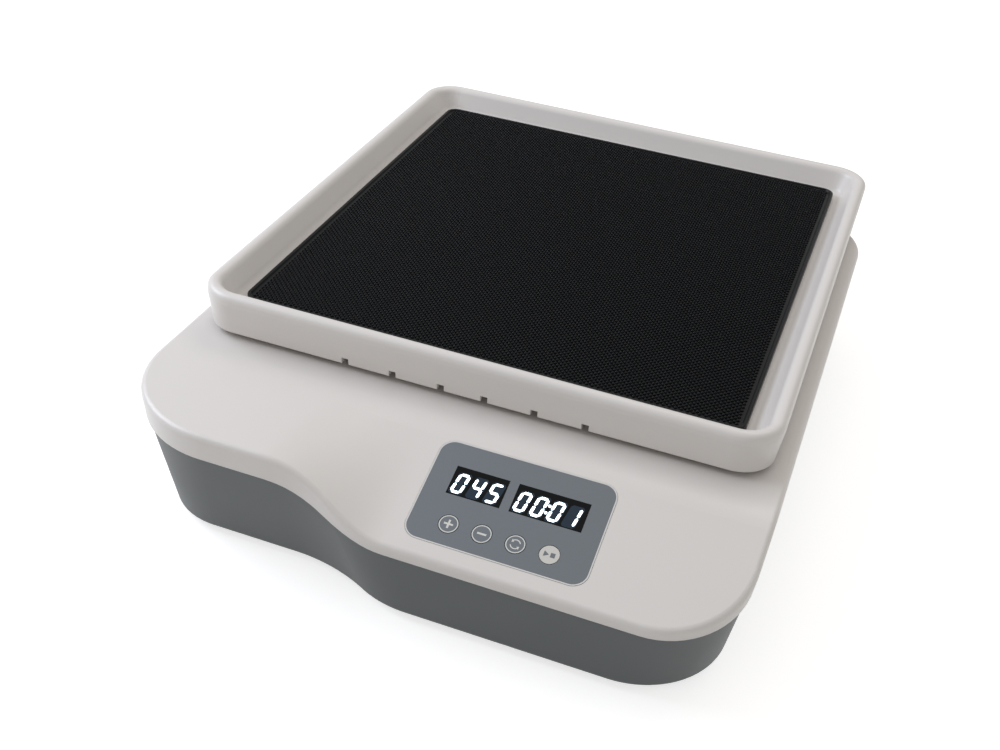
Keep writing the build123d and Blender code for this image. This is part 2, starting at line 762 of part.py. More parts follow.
def make_inlet():
    wall_y = back_y - base_back_inset
    flange = Pos(inlet_x, wall_y, inlet_z) * Rot(-90, 0, 0) * extrude(
        RectangleRounded(inlet_flange_width, inlet_flange_height, 5), inlet_flange_thickness)
    body = Pos(inlet_x, wall_y - inlet_body_depth / 2, inlet_z) * Box(
        inlet_body_width, inlet_body_depth, inlet_body_height)
    mouth = Rectangle(inlet_cavity_width, inlet_cavity_height)
    mouth = chamfer(mouth.vertices().sort_by(Axis.Y)[:2], inlet_cavity_chamfer)
    inlet = flange + body
    inlet -= Pos(inlet_x, wall_y + 3, inlet_z) * Rot(90, 0, 0) * extrude(mouth, inlet_cavity_depth + 3)
    for sx in (-1, 1):
        inlet -= Pos(inlet_x + sx * inlet_screw_pitch / 2, wall_y, inlet_z) * Rot(90, 0, 0) * Cylinder(
            small_screw + fit_gap, 10)
    for dx, dz in inlet_pins_at():
        inlet -= Pos(inlet_x + dx, wall_y - inlet_body_depth, inlet_z + dz) * Box(
            inlet_pin_width + 2 * fit_gap, 30, inlet_pin_height + 2 * fit_gap)
    return inlet


def inlet_pins_at():
    return [(-inlet_pin_pitch, inlet_pin_rise), (0.0, -inlet_earth_drop), (inlet_pin_pitch, inlet_pin_rise)]


def make_inlet_pins():
    wall_y = back_y - base_back_inset
    tip = wall_y - inlet_cavity_depth + inlet_pin_reach
    tail = wall_y - inlet_body_depth - 6.0
    return [Pos(inlet_x + dx, (tip + tail) / 2, inlet_z + dz) * Box(inlet_pin_width, tip - tail, inlet_pin_height)
            for dx, dz in inlet_pins_at()]


def make_inlet_screws():
    wall_y = back_y - base_back_inset + inlet_flange_thickness
    out = []
    for sx in (-1, 1):
        place = Pos(inlet_x + sx * inlet_screw_pitch / 2, wall_y, inlet_z) * Rot(-90, 0, 0)
        out.append(place * screw(0, 0, 0, small_screw, 2.8, 1.6, 8))
    return out


def make_switch_frame():
    wall_y = back_y - base_back_inset
    bezel = Pos(switch_x, wall_y, inlet_z) * Rot(-90, 0, 0) * extrude(
        RectangleRounded(switch_width, switch_height, 1.5), switch_bezel)
    body = Pos(switch_x, wall_y - switch_depth / 2, inlet_z) * Box(
        switch_width - 2 * switch_lip, switch_depth, switch_height - 2 * switch_lip)
    frame = bezel + body
    cavity_width = rocker_width + 2 * free_gap
    cavity_height = switch_height - 2 * switch_lip - 2 * switch_wall + 0.6
    frame -= Pos(switch_x, wall_y + 2.5, inlet_z) * Box(
        cavity_width, 2 * (switch_depth - 1), cavity_height)
    pivot_y = wall_y + switch_bezel - rocker_pivot_depth
    frame -= Pos(switch_x, pivot_y, inlet_z) * Rot(0, 90, 0) * Cylinder(
        rocker_pin + fit_gap, switch_width - 2 * switch_lip)
    for dz in (-5, 5):
        frame += Pos(switch_x, wall_y - switch_depth - 3.5, inlet_z + dz) * Box(4.8, 8, 0.8)
    return frame


def make_rocker():
    # The face is a shallow V. It rests tilted half its swing, with the top end pressed in.
    h = rocker_half
    profile = make_face(Polyline((-h, 5.4), (0, 4.1), (h, 5.4), (h + 0.2, 1.5), (3, -2.4), (-3, -2.4),
                                 (-h - 0.2, 1.5), close=True))
    body = extrude(profile, rocker_width / 2, both=True)
    pin = Cylinder(rocker_pin, switch_width - 2 * switch_lip - 2 * fit_gap)
    # The profile's first axis goes to world +Z, its second to world +Y and the extrusion to world X.
    to_world = Plane(origin=(0, 0, 0), x_dir=(0, 0, 1), z_dir=(-1, 0, 0))
    pivot_y = back_y - base_back_inset + switch_bezel - rocker_pivot_depth
    turned = Rot(rocker_swing / 2, 0, 0) * (to_world * (body + pin))
    return Pos(switch_x, pivot_y, inlet_z) * turned


def make_boards():
    board = on_panel(0, 0, board_depth + board_thickness, board_depth,
                     RectangleRounded(panel_width - 2 * board_margin, panel_height - 2 * board_margin, 2))
    for u, v in panel_posts():
        board -= on_panel(u, v, board_depth + 3, board_depth - 1, Circle(board_screw))
    return board


def make_display_screws():
    screws = []
    for u, v in panel_posts():
        place = panel_plane * Pos(u, v, -(board_depth + board_thickness))
        screws.append(place * screw(0, 0, 0, 0.95, 2.0, 1.2, 5.5, up=-1))
    return screws


def make_overlay():
    top = -overlay_proud
    bottom = overlay_thickness - overlay_proud
    sheet = on_panel(0, 0, bottom, top, RectangleRounded(panel_width, panel_height, panel_corner))
    for u, width in ((speed_window_u, speed_window_width), (time_window_u, time_window_width)):
        sheet -= on_panel(u, window_v, bottom + 1, top - 1,
                          Rectangle(width + 2 * fit_gap, window_height + 2 * fit_gap))
    for u in key_us:
        sheet -= on_panel(u, key_row_v, bottom + 1, top - 1, Circle(key_radius + free_gap))
    return sheet


def make_window(u, width):
    return on_panel(u, window_v, overlay_thickness - overlay_proud, -overlay_proud,
                    Rectangle(width, window_height))


def make_digits(u, width):
    # A digit module: one block between the window and the board.
    smaller = 2 * (window_ledge + free_gap)
    return on_panel(u, window_v, board_depth, overlay_thickness, Rectangle(width - smaller, window_height - smaller))


def make_key(u):
    top = -overlay_proud
    under = overlay_thickness
    flange_low = under + key_flange_thickness
    stem_low = board_depth - tact_height - tact_rise - key_travel - overlay_proud
    key = on_panel(u, key_row_v, under, top, Circle(key_radius))
    key += on_panel(u, key_row_v, flange_low, under, Circle(key_radius + key_flange))
    key += on_panel(u, key_row_v, stem_low, flange_low, Circle(key_stem))
    return key


def make_tact(u):
    top = board_depth - tact_height
    body = on_panel(u, key_row_v, board_depth, top, Rectangle(tact_size, tact_size))
    return body + on_panel(u, key_row_v, top, top - tact_rise, Circle(tact_plunger))


def make_control_parts():
    z = control_height + board_thickness
    y = control_y
    w = control_width
    d = control_depth
    parts = [cylinder(w * (-0.39 + i * 0.1), y + d / 6, z, z + d * 0.43, d / 6) for i in range(2)]
    parts += [block(-w / 16, y - d / 15, z, z + d / 14, w / 9, w / 9)]
    parts += [block(w / 9, y + d / 5, z, z + d / 15, w / 16, d / 5)]
    parts += [block(w / 3, y, z, z + d / 4, w * 0.18, d / 4)]
    parts += [block(-w / 5, y - d * 0.3, z, z + d / 5, w / 14, d / 6)]
    return parts


def make_psu():
    z = chassis_top + standoff_height
    x = psu_x
    w = psu_width
    d = psu_depth
    board = block(x, psu_y, z, z + board_thickness, w, d)
    for px, py in psu_posts():
        board -= cylinder(px, py, z - 1, z + 3, board_screw + fit_gap)
    top = z + board_thickness
    parts = [rounded_block(x, psu_y - d / 9, top, top + w * 0.45, w * 0.6, d * 0.45, w / 22)]
    parts += [cylinder(x - w * 0.27, psu_y + d * 0.3, top, top + w * 0.36, w * 0.13)]
    parts += [cylinder(x + w * 0.27, psu_y + d * 0.32, top, top + w * 0.27, w * 0.09)]
    parts += [block(x + w / 22, psu_y + d * 0.32, top, top + w / 5, w * 0.18, d / 9)]
    posts = [cylinder(px, py, chassis_top, z, post_radius)
             - cylinder(px, py, chassis_top - 1, z + 1, board_screw + fit_gap) for px, py in psu_posts()]
    screws = [screw(px, py, z + board_thickness, board_screw, 2 * board_screw, 1.4,
                    board_thickness + standoff_height + chassis_thickness) for px, py in psu_posts()]
    return board, parts, posts, screws


def make_foot(x, y):
    # A push-in rubber foot: a tapered pad under the floor, a stem through it and a barb above.
    r = foot_radius
    s = foot_stem
    return spun([(0, 0), (r - 1.0, 0), (r, 1.0), (r, foot_height), (s, foot_height), (s, base_floor),
                 (s + foot_barb, base_floor), (s, base_floor + 2.4), (0, base_floor + 2.4)], x, y)


# Write every piece

save("base_shell", make_base())
save("top_cover", make_cover())
save("rubber_feet", *[make_foot(x, y) for x, y in foot_places])
save("chassis_plate", make_chassis())
save("chassis_screws", *[screw(x, y, chassis_top, large_screw, 3.6, 2.4, chassis_screw_length)
                         for x, y in chassis_places])
save("cover_screws", *[screw(x, y, column_top - cover_screw_sink, 1.85, 3.3, 2.6, cover_screw_length, up=-1)
                       for x, y in column_places])

save("drive_housing", make_housing(0, drive_y, drive_shaft_radius, drive_bearing_radius + fit_gap,
                                   drive_bearing_width, drive_barrel_wall)
     - [cylinder(x, y, chassis_top - 1, chassis_top + 9, small_screw + fit_gap) for x, y in drive_screws])
lower_z = chassis_top + bearing_lift
save("drive_bearings", *[bearing(0, drive_y, z, drive_shaft_radius + fit_gap, drive_bearing_radius,
                                 drive_bearing_width)
                         for z in (lower_z, lower_z + drive_bearing_width + bearing_spacer)])
save("drive_crank", make_drive_crank())
save("counterweight", make_counterweight())
weight_seat = web_height + web_thickness + weight_thickness - weight_sink
save("counterweight_screws", *[screw(x, weight_screw_y, weight_seat, large_screw, 3.4, 2.2, 7.3)
                               for x in (-weight_screw_x, weight_screw_x)])
save("crank_pulley", make_crank_pulley())
save("drive_belt", make_belt())

for number, (x, y) in enumerate(guide_places, start=1):
    holes = [cylinder(a, b, chassis_top - 1, chassis_top + 9, small_screw + fit_gap)
             for a, b in guide_screws[number - 1]]
    save(f"guide_housing_{number}", make_housing(x, y, guide_shaft_radius, guide_bearing_radius + fit_gap,
                                                 guide_bearing_width, guide_barrel_wall) - holes)
    pair = [bearing(x, y, z, guide_shaft_radius + fit_gap, guide_bearing_radius, guide_bearing_width)
            for z in (lower_z, lower_z + guide_bearing_width + bearing_spacer)]
    save(f"guide_bearings_{number}", *pair)
    save(f"guide_crank_{number}", make_guide_crank(x, y))
save("housing_screws", *[screw(x, y, chassis_top + flange_thickness, small_screw, 2.7, 1.8, 8)
                         for x, y in housing_screw_places])

save("motor_can", make_motor_can())
rotor, motor_pulley = make_motor_rotor()
save("motor_shaft", rotor)
save("motor_pulley", motor_pulley)
save("motor_screws", *[screw(x, y, chassis_height, small_screw, 2.7, 1.8, 6.5, up=-1)
                       for x, y in motor_screws])

save("carrier_plate", make_carrier())
bearing_z = carrier_z + bearing_lip
save("drive_pin_bearing", bearing(0, tray_y, bearing_z, drive_pin_radius + fit_gap,
                                  drive_pin_radius + platform_bearing_wall, platform_bearing_width))
save("guide_pin_bearings", *[bearing(x, y + orbit_radius, bearing_z, guide_shaft_radius + free_gap,
                                     guide_shaft_radius + platform_bearing_wall, platform_bearing_width)
                             for x, y in guide_places])
save("tray", make_tray())
save("tray_screws", *[screw(x, y, mat_z - tray_screw_sink, large_screw, tray_screw_head, 1.5, 6.5)
                      for x, y in tray_screw_places()])
save("grip_mat", make_mat())

save("panel_overlay", make_overlay())
save("speed_window", make_window(speed_window_u, speed_window_width))
save("time_window", make_window(time_window_u, time_window_width))
save("speed_digits", make_digits(speed_window_u, speed_window_width))
save("time_digits", make_digits(time_window_u, time_window_width))
for name, u in zip(key_names, key_us):
    save(name, make_key(u))
save("key_switches", *[make_tact(u) for u in key_us])
save("display_board", make_boards())
save("display_screws", *make_display_screws())

control_top = control_height + board_thickness
control_board = block(0, control_y, control_height, control_top, control_width, control_depth)
for x, y in control_posts():
    control_board -= cylinder(x, y, control_height - 1, control_height + 3, board_screw + fit_gap)
save("control_board", control_board)
save("control_parts", *make_control_parts())
save("control_screws", *[screw(x, y, control_top, board_screw, 2 * board_screw, 1.4, 6)
                         for x, y in control_posts()])
psu_board, psu_parts, psu_standoffs, psu_screws = make_psu()
save("supply_board", psu_board)
save("supply_parts", *psu_parts)
save("supply_standoffs", *psu_standoffs)
save("supply_screws", *psu_screws)
save("mains_inlet", make_inlet())
save("inlet_pins", *make_inlet_pins())
save("inlet_screws", *make_inlet_screws())
save("switch_frame", make_switch_frame())
save("power_rocker", make_rocker())
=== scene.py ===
import bpy
import bmesh
import json
import math
from mathutils import Vector, Matrix


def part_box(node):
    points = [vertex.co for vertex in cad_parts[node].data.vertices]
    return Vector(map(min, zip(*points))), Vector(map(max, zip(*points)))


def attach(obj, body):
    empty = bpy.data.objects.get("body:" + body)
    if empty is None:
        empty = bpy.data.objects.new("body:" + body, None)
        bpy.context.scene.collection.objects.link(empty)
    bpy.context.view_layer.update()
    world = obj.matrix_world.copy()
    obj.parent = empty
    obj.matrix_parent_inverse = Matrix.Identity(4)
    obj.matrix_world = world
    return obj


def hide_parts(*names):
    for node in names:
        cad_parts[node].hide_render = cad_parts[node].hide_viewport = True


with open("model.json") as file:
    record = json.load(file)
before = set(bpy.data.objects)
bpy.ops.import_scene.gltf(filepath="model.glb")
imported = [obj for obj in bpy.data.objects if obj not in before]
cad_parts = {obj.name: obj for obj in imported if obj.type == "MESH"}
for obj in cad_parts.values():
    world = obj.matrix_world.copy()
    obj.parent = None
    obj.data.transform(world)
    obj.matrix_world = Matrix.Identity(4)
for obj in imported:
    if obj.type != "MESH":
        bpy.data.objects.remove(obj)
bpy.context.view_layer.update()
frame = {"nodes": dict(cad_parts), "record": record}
nodes = frame["nodes"]
mm = 0.001
print("frame loaded:", len(nodes), "nodes")

# The camera stands at the front right of the bench and looks down on the tray.
cameraSet = {
    "place": (0.15077, -0.52477, 0.38748),  # m
    "azimuth": 17.90,     # degrees to the left of the machine's depth
    "elevation": 34.26,   # degrees, looking down
    "roll": -4.82,        # degrees
    "lens": 46.48,        # mm
    "sensor": 36.0,       # mm
    "near": 0.01,         # m
}


def makeCamera():
    az = math.radians(cameraSet["azimuth"])
    el = math.radians(cameraSet["elevation"])
    roll = math.radians(cameraSet["roll"])
    ahead = Vector((-math.sin(az) * math.cos(el), math.cos(az) * math.cos(el), -math.sin(el)))
    right = Vector((math.cos(az), math.sin(az), 0.0))
    down = ahead.cross(right)
    imageRight = right * math.cos(roll) + down * math.sin(roll)
    imageDown = down * math.cos(roll) - right * math.sin(roll)
    data = bpy.data.cameras.new("benchCamera")
    data.lens = cameraSet["lens"]
    data.sensor_width = cameraSet["sensor"]
    data.clip_start = cameraSet["near"]
    camera = bpy.data.objects.new("benchCamera", data)
    turn = Matrix((imageRight, -imageDown, -ahead)).transposed().to_4x4()
    camera.matrix_world = Matrix.Translation(cameraSet["place"]) @ turn
    bpy.context.scene.collection.objects.link(camera)
    bpy.context.scene.camera = camera


makeCamera()
print("camera placed")


# finishes

def linear(hexValue):
    # sRGB hex to linear red, green, blue and alpha
    out = []
    for i in (1, 3, 5):
        c = int(hexValue[i:i + 2], 16) / 255.0
        out.append(c / 12.92 if c <= 0.04045 else ((c + 0.055) / 1.055) ** 2.4)
    return (*out, 1.0)


def addNode(material, kind, settings=None, links=None, values=None):
    # settings are node attributes, values are socket numbers, links are (socket, from node, from socket)
    tree = material.node_tree
    node = tree.nodes.new(kind)
    for name, value in (settings or {}).items():
        setattr(node, name, value)
    for name, value in (values or {}).items():
        node.inputs[name].default_value = value
    for name, source, output in (links or []):
        tree.links.new(source.outputs[output], node.inputs[name])
    return node


def blankMaterial(name):
    material = bpy.data.materials.new(name)
    material.use_nodes = True
    material.node_tree.nodes.clear()
    return material


# Sizes of patterns are in mm. Real tool grain, cutter marks and film texture are about 0.1 mm and finer, which
# wouldn't show in the picture, so they are drawn a few times coarser.
noiseSpan = (0.3, 0.7)    # most of a noise lies between these two

mouldedSkin = {
    "grainDetail": 3.0,
    "grainRoughness": 0.6,
    "cloudDetail": 2.0,
    "duller": 0.04,       # how far the roughness goes above its middle
    "shinier": 0.03,      # how far it goes below
    "paintedEdgeFrom": 0.88,     # cosine between the face and its rounded edge where the painted highlight is full
    "bevelSamples": 4,
    "grainDepth": 0.06,   # mm
}


def mouldedPlastic(name, look):
    # A moulding: fine grain from the tool, a slow change of gloss, and a painted highlight that makes rounded
    # edges a little paler.
    m = blankMaterial(name)
    s = mouldedSkin
    place = addNode(m, "ShaderNodeTexCoord")
    grain = addNode(m, "ShaderNodeTexNoise", links=[("Vector", place, "Object")],
                    values={"Scale": 1 / (look["grain"] * mm), "Detail": s["grainDetail"],
                            "Roughness": s["grainRoughness"]})
    cloud = addNode(m, "ShaderNodeTexNoise", links=[("Vector", place, "Object")],
                    values={"Scale": 1 / (look["cloud"] * mm), "Detail": s["cloudDetail"]})
    shade = addNode(m, "ShaderNodeMix", {"data_type": "RGBA"}, [("Factor", cloud, "Fac")],
                    {"A": linear(look["colour"]), "B": linear(look["second"])})
    edge = addNode(m, "ShaderNodeBevel", {"samples": s["bevelSamples"]}, values={"Radius": look["edge"] * mm})
    face = addNode(m, "ShaderNodeNewGeometry")
    meet = addNode(m, "ShaderNodeVectorMath", {"operation": "DOT_PRODUCT"},
                   [(0, edge, 0), (1, face, "Normal")])
    # painted highlight: rounded edges are mixed towards a paler colour, standing in for light caught on them
    paintedEdgeHighlight = addNode(m, "ShaderNodeMapRange", links=[("Value", meet, "Value")],
                   values={"From Min": 1.0, "From Max": s["paintedEdgeFrom"], "To Min": 0.0, "To Max": look["paintedEdgeHighlight"]})
    paint = addNode(m, "ShaderNodeMix", {"data_type": "RGBA"},
                    [("Factor", paintedEdgeHighlight, "Result"), ("A", shade, "Result")], {"B": linear(look["paintedEdgeColour"])})
    gloss = addNode(m, "ShaderNodeMapRange", links=[("Value", cloud, "Fac")],
                    values={"From Min": noiseSpan[0], "From Max": noiseSpan[1],
                            "To Min": look["rough"] - s["shinier"], "To Max": look["rough"] + s["duller"]})
    bump = addNode(m, "ShaderNodeBump", links=[("Height", grain, "Fac"), ("Normal", edge, 0)],
                   values={"Strength": look["bump"], "Distance": s["grainDepth"] * mm})
    skin = addNode(m, "ShaderNodeBsdfPrincipled",
                   links=[("Base Color", paint, "Result"), ("Roughness", gloss, "Result"),
                          ("Normal", bump, 0)],
                   values={"IOR": look["ior"], "Specular IOR Level": look.get("shine", 0.5)})
    addNode(m, "ShaderNodeOutputMaterial", links=[("Surface", skin, 0)])
    return m


# The pale edge colours in the looks below, up to the belt, are painted highlights on rounded edges.
whiteAbs = {  # ABS, moulded in a polished tool: soft broad highlights, hardly any grain
    "colour": "#E3DED9", "second": "#DFDAD5", "paintedEdgeColour": "#EAE6E1", "grain": 0.45, "cloud": 60.0,
    "edge": 0.5, "paintedEdgeHighlight": 0.35, "rough": 0.34, "bump": 0.05, "ior": 1.53,
}
greyAbs = {  # ABS, moulded in a spark eroded tool: matt, with a visible fine grain
    "colour": "#565A5B", "second": "#525657", "paintedEdgeColour": "#6B6F70", "grain": 0.7, "cloud": 70.0,
    "edge": 0.5, "paintedEdgeHighlight": 0.4, "rough": 0.5, "bump": 0.32, "ior": 1.53,
}
blackPbt = {  # PBT, moulded: dull black of connectors and rockers
    "colour": "#17181A", "second": "#1B1C1E", "paintedEdgeColour": "#3A3B3D", "grain": 0.4, "cloud": 20.0,
    "edge": 0.25, "paintedEdgeHighlight": 0.3, "rough": 0.46, "bump": 0.15, "ior": 1.57,
}
footRubber = {  # nitrile rubber, pressed: matt and slightly dusty
    "colour": "#1B1B1C", "second": "#242425", "paintedEdgeColour": "#3B3B3C", "grain": 0.6, "cloud": 9.0,
    "edge": 0.3, "paintedEdgeHighlight": 0.4, "rough": 0.78, "bump": 0.3, "ior": 1.50,
}
matRubber = {  # neoprene, pressed on a patterned plate: black with a slight shine on the points
    "colour": "#05070A", "second": "#040608", "paintedEdgeColour": "#14181C", "grain": 0.5, "cloud": 40.0,
    "edge": 0.2, "paintedEdgeHighlight": 0.5, "rough": 0.34, "bump": 0.08, "ior": 1.50, "shine": 0.22,
}
beltRubber = {  # polyurethane flat belt, cloth backed: dull brown black with a rough back
    "colour": "#2A2724", "second": "#211F1D", "paintedEdgeColour": "#3A3632", "grain": 0.3, "cloud": 6.0,
    "edge": 0.1, "paintedEdgeHighlight": 0.2, "rough": 0.7, "bump": 0.5, "ior": 1.50,
}

workedMetal = {
    "markDetail": 4.0,
    "cloudDetail": 3.0,
    "duller": 0.08,
    "shinier": 0.06,
    "bevelSamples": 4,
    "edge": 0.2,          # mm
    "markDepth": 0.03,    # mm
}


def metal(name, look):
    # A worked metal: tool marks stretched round the vertical axis or along one direction.
    m = blankMaterial(name)
    s = workedMetal
    place = addNode(m, "ShaderNodeTexCoord")
    stretch = addNode(m, "ShaderNodeMapping", links=[("Vector", place, "Object")],
                      values={"Scale": look["stretch"]})
    marks = addNode(m, "ShaderNodeTexNoise", links=[("Vector", stretch, 0)],
                    values={"Scale": 1 / (look["mark"] * mm), "Detail": s["markDetail"]})
    cloud = addNode(m, "ShaderNodeTexNoise", links=[("Vector", place, "Object")],
                    values={"Scale": 1 / (look["cloud"] * mm), "Detail": s["cloudDetail"]})
    tone = addNode(m, "ShaderNodeMix", {"data_type": "RGBA"}, [("Factor", cloud, "Fac")],
                   {"A": linear(look["colour"]), "B": linear(look["second"])})
    gloss = addNode(m, "ShaderNodeMapRange", links=[("Value", marks, "Fac")],
                    values={"From Min": noiseSpan[0], "From Max": noiseSpan[1],
                            "To Min": look["rough"] - s["shinier"], "To Max": look["rough"] + s["duller"]})
    edge = addNode(m, "ShaderNodeBevel", {"samples": s["bevelSamples"]}, values={"Radius": s["edge"] * mm})
    bump = addNode(m, "ShaderNodeBump", links=[("Height", marks, "Fac"), ("Normal", edge, 0)],
                   values={"Strength": look["bump"], "Distance": s["markDepth"] * mm})
    skin = addNode(m, "ShaderNodeBsdfPrincipled",
                   links=[("Base Color", tone, "Result"), ("Roughness", gloss, "Result"),
                          ("Normal", bump, 0)],
                   values={"Metallic": 1.0})
    addNode(m, "ShaderNodeOutputMaterial", links=[("Surface", skin, 0)])
    return m


turnedSteel = {  # bright steel bar, turned: rings round the axis
    "colour": "#B9BABA", "second": "#A9AAAB", "mark": 0.8, "cloud": 12.0, "stretch": (0.15, 0.15, 3.0),
    "rough": 0.3, "bump": 0.35,
}
zincSteel = {  # sheet steel, zinc plated and passivated: cool grey with a cloudy sheen
    "colour": "#A7ABAE", "second": "#8F959A", "mark": 1.5, "cloud": 9.0, "stretch": (1.0, 1.0, 1.0),
    "rough": 0.42, "bump": 0.2,
}
milledAluminium = {  # aluminium, milled: fine straight cutter marks
    "colour": "#C9CBCC", "second": "#BFC1C3", "mark": 0.7, "cloud": 25.0, "stretch": (0.1, 2.5, 1.0),
    "rough": 0.34, "bump": 0.3,
}
bearingSteel = {  # chrome steel rings, ground: bright, with hardly any marks
    "colour": "#C3C4C5", "second": "#B8B9BB", "mark": 0.5, "cloud": 8.0, "stretch": (0.2, 0.2, 4.0),
    "rough": 0.2, "bump": 0.15,
}
nickelBrass = {  # brass blades, nickel plated: smooth, a warm white
    "colour": "#CDC6B4", "second": "#C2BAA5", "mark": 0.4, "cloud": 5.0, "stretch": (1.0, 0.2, 1.0),
    "rough": 0.25, "bump": 0.1,
}

filmSkin = {
    "grainDetail": 2.0,
    "grainDepth": 0.03,   # mm
    "ior": 1.64,
}


def printedFilm(name, look):
    # Polyester or acrylic with colour on its back: an even tone under a fine velvet texture.
    m = blankMaterial(name)
    s = filmSkin
    place = addNode(m, "ShaderNodeTexCoord")
    grit = addNode(m, "ShaderNodeTexNoise", links=[("Vector", place, "Object")],
                   values={"Scale": 1 / (look["grain"] * mm), "Detail": s["grainDetail"]})
    tone = addNode(m, "ShaderNodeMix", {"data_type": "RGBA"}, [("Factor", grit, "Fac")],
                   {"A": linear(look["colour"]), "B": linear(look["second"])})
    bump = addNode(m, "ShaderNodeBump", links=[("Height", grit, "Fac")],
                   values={"Strength": look["bump"], "Distance": s["grainDepth"] * mm})
    skin = addNode(m, "ShaderNodeBsdfPrincipled",
                   links=[("Base Color", tone, "Result"), ("Normal", bump, 0)],
                   values={"Roughness": look["rough"], "IOR": s["ior"],
                           "Specular IOR Level": look.get("shine", 0.5)})
    addNode(m, "ShaderNodeOutputMaterial", links=[("Surface", skin, 0)])
    return m


greyFilm = {  # polyester film, printed grey: matt blue grey of one tone
    "colour": "#6C7277", "second": "#70767B", "grain": 0.35, "rough": 0.42, "bump": 0.18,
}
whitePrint = {  # screen printed ink, white: dull and crisp
    "colour": "#DCDAD5", "second": "#D6D4CF", "grain": 0.35, "rough": 0.45, "bump": 0.1,
}
discPrint = {  # screen printed ink, pale grey: dull and a little warmer
    "colour": "#D5D2CA", "second": "#CFCCC4", "grain": 0.35, "rough": 0.45, "bump": 0.1,
}
smokedWindow = {  # acrylic, smoked and polished: nearly black, with a faint clear reflection
    "colour": "#040506", "second": "#050708", "grain": 0.8, "rough": 0.12, "bump": 0.02, "shine": 0.16,
}


def litPlate(name, look):
    # Light behind a window: it glows by itself, in a tone that changes a little from place to place.
    m = blankMaterial(name)
    place = addNode(m, "ShaderNodeTexCoord")
    spread = addNode(m, "ShaderNodeTexNoise", links=[("Vector", place, "Object")],
                     values={"Scale": 1 / (look["cloud"] * mm), "Detail": look["detail"]})
    tone = addNode(m, "ShaderNodeMix", {"data_type": "RGBA"}, [("Factor", spread, "Fac")],
                   {"A": linear(look["colour"]), "B": linear(look["second"])})
    skin = addNode(m, "ShaderNodeBsdfPrincipled",
                   links=[("Base Color", tone, "Result"), ("Emission Color", tone, "Result")],
                   values={"Emission Strength": look["strength"], "Roughness": look["rough"]})
    addNode(m, "ShaderNodeOutputMaterial", links=[("Surface", skin, 0)])
    return m


litSegment = {  # diffused epoxy over a diode: a cold white bar with sharp ends
    "colour": "#CFF0FF", "second": "#FFFFFF", "cloud": 2.5, "detail": 1.0, "strength": 3.2, "rough": 0.3,
}
litWindow = {  # smoked acrylic next to a lit segment: a faint blue glow
    "colour": "#0B1C2A", "second": "#0E2434", "cloud": 2.5, "detail": 1.0, "strength": 0.35, "rough": 0.3,
}


def boardMaterial(name, look):
    # Epoxy glass board under solder mask: thin tracks show as paler lines.
    m = blankMaterial(name)
    place = addNode(m, "ShaderNodeTexCoord")
    track = addNode(m, "ShaderNodeTexBrick", links=[("Vector", place, "Object")],
                    values={"Scale": 1 / (look["cell"] * mm), "Mortar Size": look["trackWidth"],
                            "Color1": linear(look["colour"]), "Color2": linear(look["second"]),
                            "Mortar": linear(look["track"])})
    cloud = addNode(m, "ShaderNodeTexNoise", links=[("Vector", place, "Object")],
                    values={"Scale": 1 / (look["cloud"] * mm), "Detail": look["detail"]})
    gloss = addNode(m, "ShaderNodeMapRange", links=[("Value", cloud, "Fac")],
                    values={"From Min": noiseSpan[0], "From Max": noiseSpan[1],
                            "To Min": look["roughLow"], "To Max": look["roughHigh"]})
    skin = addNode(m, "ShaderNodeBsdfPrincipled",
                   links=[("Base Color", track, "Color"), ("Roughness", gloss, "Result")],
                   values={"IOR": look["ior"]})
    addNode(m, "ShaderNodeOutputMaterial", links=[("Surface", skin, 0)])
    return m


greenBoard = {  # epoxy glass, solder masked: deep glossy green
    "colour": "#11522C", "second": "#0F4A28", "track": "#2F7A48", "cell": 12.0, "trackWidth": 0.025,
    "cloud": 6.0, "detail": 3.0, "roughLow": 0.22, "roughHigh": 0.34, "ior": 1.5,
}

finishTable = {
    "whiteAbsMoulded": (mouldedPlastic, whiteAbs),
    "greyAbsMoulded": (mouldedPlastic, greyAbs),
    "blackPbtMoulded": (mouldedPlastic, blackPbt),
    "nitrileRubberPressed": (mouldedPlastic, footRubber),
    "neoprenePressed": (mouldedPlastic, matRubber),
    "polyurethaneBelt": (mouldedPlastic, beltRubber),
    "steelTurned": (metal, turnedSteel),
    "steelZincPlated": (metal, zincSteel),
    "aluminiumMilled": (metal, milledAluminium),
    "bearingSteelGround": (metal, bearingSteel),
    "brassNickelPlated": (metal, nickelBrass),
    "polyesterGreyPrinted": (printedFilm, greyFilm),
    "inkWhitePrinted": (printedFilm, whitePrint),
    "inkPalePrinted": (printedFilm, discPrint),
    "acrylicSmoked": (printedFilm, smokedWindow),
    "segmentsLit": (litPlate, litSegment),
    "segmentsHalo": (litPlate, litWindow),
    "epoxyGlassMasked": (boardMaterial, greenBoard),
}
finishes = {name: make(name, look) for name, (make, look) in finishTable.items()}

finishOfSlot = {
    "white_abs": "whiteAbsMoulded",
    "grey_abs": "greyAbsMoulded",
    "rubber_mat": "neoprenePressed",
    "rubber_foot": "nitrileRubberPressed",
    "overlay_film": "polyesterGreyPrinted",
    "display_window": "acrylicSmoked",
    "display_module": "blackPbtMoulded",
    "key_plastic": "polyesterGreyPrinted",
    "start_key_plastic": "inkPalePrinted",
    "steel": "steelTurned",
    "zinc_steel": "steelZincPlated",
    "bearing_steel": "bearingSteelGround",
    "aluminium": "aluminiumMilled",
    "belt_rubber": "polyurethaneBelt",
    "circuit_board": "epoxyGlassMasked",
    "black_plastic": "blackPbtMoulded",
    "brass": "brassNickelPlated",
}

for part in frame["record"]["subparts"]:
    piece = nodes[part["node"]]
    piece.data.materials.clear()
    piece.data.materials.append(finishes[finishOfSlot[part["material_slot"]]])
print("finishes on every node")


# pieces

